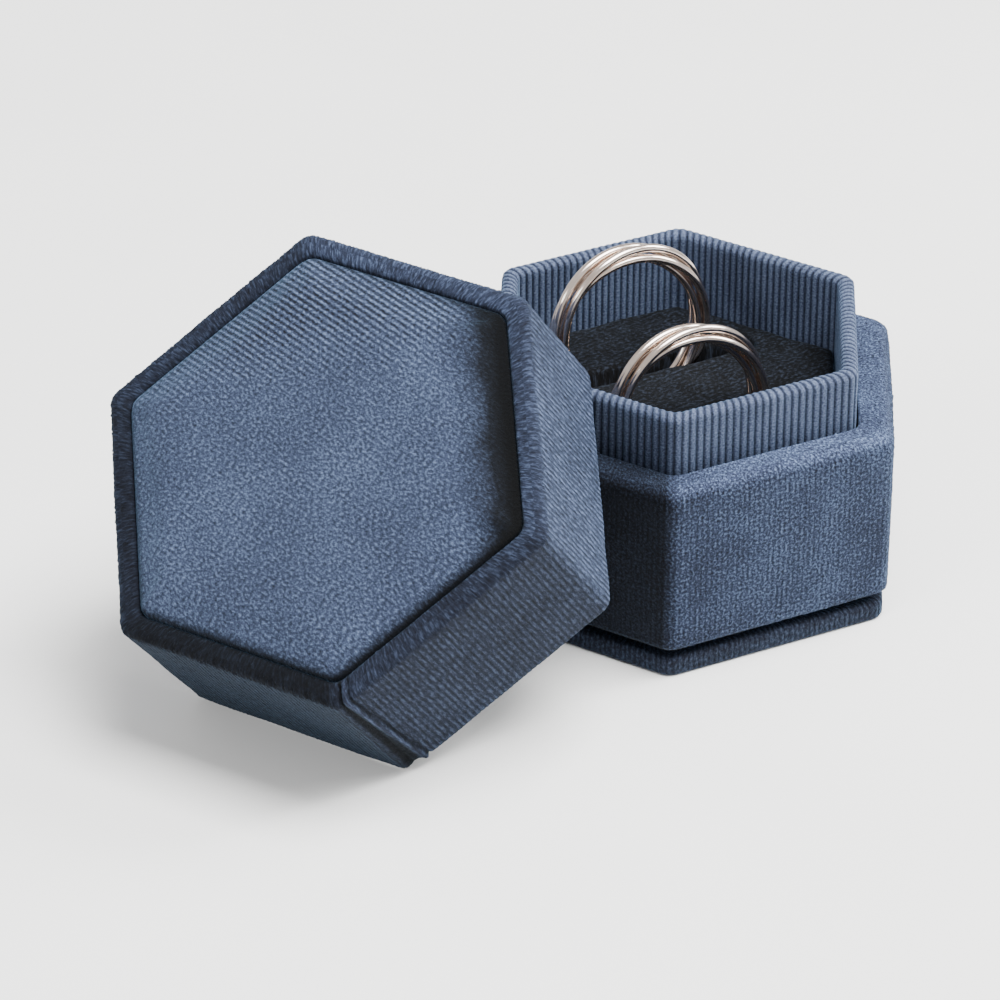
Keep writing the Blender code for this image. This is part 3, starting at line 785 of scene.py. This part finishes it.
def cushion(name, flat, low, high, power, held, most, place, material, sink=None, look=None):
    """Hexagonal pad with a full face, from low at its sides to high in the middle.

    Its sides are held up to a level, and pressure fills the rest, by no more than most. sink gives
    how far a point is pulled down, and look the painted light and shade and the ribbing that are stored
    on the points.
    """
    steps = 12
    turns = np.radians(90) * np.arange(1, steps + 1) / steps
    shoulder = held + 0.1 * (high - held)
    rows = np.stack([flat * np.sin(turns) ** (2 / power),
                     shoulder + (high - shoulder) * np.clip(np.cos(turns), 0, 1) ** (2 / power)], 1)
    rows = np.vstack([rows, [(flat, low)]])
    outline = Outline(flat, 1.0 * mm, 1)
    made = skin(name, outline, rows, lambda o, r: np.zeros((len(r), o.count)), UPRIGHT, material,
                closed=False)
    made.data.transform(Matrix.Scale(SIM_SCALE, 4))
    voxels = made.modifiers.new("voxels", "REMESH")
    voxels.mode = "VOXEL"
    voxels.voxel_size = VOXEL * SIM_SCALE
    apply_modifiers(made)
    start = np.array([v.co for v in made.data.vertices])
    glued = made.vertex_groups.new(name="glued")
    glued.add([v.index for v in made.data.vertices if v.co.z < held * SIM_SCALE], 1.0, "REPLACE")
    cloth = made.modifiers.new("cloth", "CLOTH")
    cloth.settings.quality = 4
    cloth.settings.vertex_group_mass = "glued"
    cloth.settings.use_pressure = True
    cloth.settings.uniform_pressure_force = 4.0
    cloth.settings.effector_weights.gravity = 0.0
    cloth.settings.bending_stiffness = 2.0
    for step in range(1, SIM_FRAMES + 1):
        bpy.context.scene.frame_set(step)
    apply_modifiers(made)
    bpy.context.scene.frame_set(1)
    moved = np.array([v.co for v in made.data.vertices]) - start
    far = np.linalg.norm(moved, axis=1)
    moved *= np.minimum(1, most * SIM_SCALE / np.maximum(far, 1e-9))[:, None]
    made.data.vertices.foreach_set("co", (start + moved).ravel())
    settled = made.modifiers.new("settled", "SMOOTH")
    settled.iterations = 4
    finer = made.modifiers.new("finer", "SUBSURF")
    finer.levels = finer.render_levels = 1
    apply_modifiers(made)
    made.data.transform(Matrix.Scale(1 / SIM_SCALE, 4))
    if sink:
        for vert in made.data.vertices:
            vert.co.z -= sink(vert.co)
    made.data.shade_smooth()
    map_flat(made)
    points = np.array([v.co for v in made.data.vertices])
    store_painted_shading(made, *(look(points) if look else np.ones((2, len(points)))))
    made.data.transform(place)
    return made


def dip_share(x, y):
    """1 at the panel's right side, where the velvet is pulled lower, to 0 at the dip's width from it."""
    bearing = math.radians(330)
    return np.clip(1 - (panel_flat - (x * math.cos(bearing) + y * math.sin(bearing))) / DIP_WIDTH, 0, 1)


def panel_sink(spot):
    """The velvet is pulled lower along one side, and lies slightly uneven."""
    above = min(1.0, max(0.0, (spot.z - lid_high + 0.3 * mm) / (1.0 * mm)))
    return above * (0.9 * mm * dip_share(spot.x, spot.y) ** 2 - 0.12 * mm * noise.noise(spot / (7.0 * mm))
                    - 0.03 * mm * noise.noise(spot / (0.8 * mm)))


def panel_look(points):
    """Painted shade at the foot of the sides and in the dip along one side; ribs where stretched, none in the
    dip.
    """
    at_foot = crease_shade(np.degrees(np.arctan2(points[:, 1], points[:, 0])) % 360)
    painted_foot_shade = np.clip((points[:, 2] - lid_high + 0.1 * mm) / (0.8 * mm), 0, 1) * (1 - at_foot) + at_foot
    ragged = np.array([noise.noise(Vector(p) / (2.5 * mm)) for p in points])
    dip_shade = np.clip((dip_share(points[:, 0], points[:, 1]) + 0.08 * ragged - 0.15) / 0.55, 0, 1)
    stretch_way = math.radians(55)
    stretched = points[:, 0] * math.cos(stretch_way) + points[:, 1] * math.sin(stretch_way)
    ribbing = 0.1 + 0.9 * np.clip((stretched - 8 * mm) / (9 * mm), 0, 1)
    # the colour factor is darkened by the painted shade at the foot and in the dip
    return painted_foot_shade * (1 - 0.93 * dip_shade ** 1.3), ribbing * (1 - dip_shade)


panel = cushion("lid_panel", panel_flat + 0.12 * mm, panel_low, panel_high - 0.3 * mm, 2.7,
                lid_high - 0.3 * mm, 0.5 * mm, lid_place, panel_velvet, panel_sink, panel_look)
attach(panel, "lid")
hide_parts("lid_panel_velvet", "lid_panel_foam")


# ---- lid lining -----------------------------------------------------------------------------
# Plain woven polyester lining: a band of it round the inside of the lid, which slides over the
# collar, and a lightly stuffed hexagon over the rings. It is matte, with a fine over-and-under weave.
THREAD = 0.3                    # mm between threads, drawn coarser than real to show


def weave(tree):
    """Over-and-under threads across a plain cloth, from 0 to 1."""
    across = add(tree, "SeparateXYZ", {0: add(tree, "Mapping", {
        "Vector": add(tree, "UVMap", uv_map="cloth"), "Scale": (1 / mm, 1 / mm, 1)})})
    warp = add(tree, "Math", {0: add(tree, "Math", {
        0: across.outputs[0], 1: math.tau / (2 * THREAD)}, operation="MULTIPLY")}, operation="SINE")
    weft = add(tree, "Math", {0: add(tree, "Math", {
        0: across.outputs[1], 1: math.tau / (2 * THREAD)}, operation="MULTIPLY")}, operation="SINE")
    both = add(tree, "Math", {0: warp, 1: weft}, operation="MULTIPLY")
    return add(tree, "Math", {0: both, 1: 0.5, 2: 0.5}, operation="MULTIPLY_ADD")


lining_cloth = surface(
    "plain_woven_lining",
    lambda t: add(t, "ValToRGB", {0: weave(t)}, stops=[(0.0, "#1d2737"), (1.0, "#33435c")]),
    lambda t: add(t, "Bump", {"Strength": 0.6, "Distance": 0.06 * mm, "Height": weave(t)}),
    Roughness=0.8, Sheen_Weight=0.25, Sheen_Roughness=0.5)
liner_rows = rows_of([
    (liner_flat, liner_high, 0, 1.0 * mm),
    (liner_flat, liner_low, 0.15 * mm, 0.3 * mm),
    (liner_flat - 0.4 * mm, liner_low, 0.15 * mm, 0.5 * mm),
    (liner_flat - 0.4 * mm, liner_high, 0, 0.3 * mm),
])


def liner_lift(outline, rows):
    """The band lies almost flat on its card, with faint upright puckers."""
    inside = (rows[:, 0] < liner_flat - 0.3 * mm)[:, None]
    return inside * 0.05 * mm * (lumps(outline, rows * (1, 0.25), 2.5 * mm, 1.7) - 0.6)


lid_liner = skin("lid_liner", Outline(liner_flat, 0.8 * mm, 2), liner_rows, liner_lift, lid_place,
                 lining_cloth)
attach(lid_liner, "lid")
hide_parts("lid_liner_fabric")

ceiling_flat, ceiling_low, ceiling_high = measure("lid_ceiling_lining", lid_place)
upside_down = Matrix.Rotation(math.pi, 4, "X")
ceiling = cushion("lid_ceiling", ceiling_flat - 0.1 * mm, -ceiling_high, -ceiling_low, 4.0,
                  -ceiling_high + 0.1 * mm, 0.6 * mm, lid_place @ upside_down, lining_cloth)
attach(ceiling, "lid")
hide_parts("lid_ceiling_lining")


# ---- studio ---------------------------------------------------------------------------------
# A pale matte floor, a large soft box overhead, weaker ones at the right and the left, and a plain
# bright room. The camera looks down at the box from in front, from a little to its left.
bpy.ops.mesh.primitive_plane_add(size=6.0)
floor = bpy.context.object
floor.name = "studio_floor"
floor.active_material = surface(
    "pale_paper",
    lambda t: add(t, "ValToRGB", {0: add(t, "TexNoise", {
        "Vector": millimetres(t), "Scale": 0.02})}, stops=[(0.3, "#f4f4f3"), (0.7, "#f8f8f7")]),
    Roughness=0.9)


def soft_box(name, bearing, elevation, distance, size, power):
    lamp = bpy.data.lights.new(name, "AREA")
    lamp.size = size
    lamp.energy = power
    made = bpy.data.objects.new(name, lamp)
    bpy.context.collection.objects.link(made)
    a, e = math.radians(bearing), math.radians(elevation)
    made.location = Vector((math.cos(a) * math.cos(e), math.sin(a) * math.cos(e), math.sin(e))) * distance
    made.rotation_mode = "QUATERNION"
    made.rotation_quaternion = (-made.location).to_track_quat("-Z", "Y")


soft_box("overhead", 300, 72, 0.8, 0.5, 17)
soft_box("right_side", 350, 38, 0.9, 0.35, 9)
soft_box("left_side", 195, 28, 0.9, 0.4, 4)
room = bpy.data.worlds.new("room")
bpy.context.scene.world = room
room.use_nodes = True
room.node_tree.nodes["Background"].inputs["Color"].default_value = (1, 1, 1, 1)
room.node_tree.nodes["Background"].inputs["Strength"].default_value = 0.7

AZIMUTH, ELEVATION, ROLL = math.radians(-27.80), math.radians(30.25), math.radians(0.23)
LOOKS_AT = Vector((-28.35, -8.27, 19.17)) * mm
DISTANCE = 590 * mm
camera = bpy.data.objects.new("camera", bpy.data.cameras.new("camera"))
bpy.context.collection.objects.link(camera)
camera.data.lens = 180
towards = Vector((-math.sin(AZIMUTH) * math.cos(ELEVATION), math.cos(AZIMUTH) * math.cos(ELEVATION),
                  -math.sin(ELEVATION)))
camera.location = LOOKS_AT - DISTANCE * towards
camera.rotation_mode = "QUATERNION"
camera.rotation_quaternion = towards.to_track_quat("-Z", "Y") @ Quaternion((0, 0, 1), ROLL)
bpy.context.scene.camera = camera
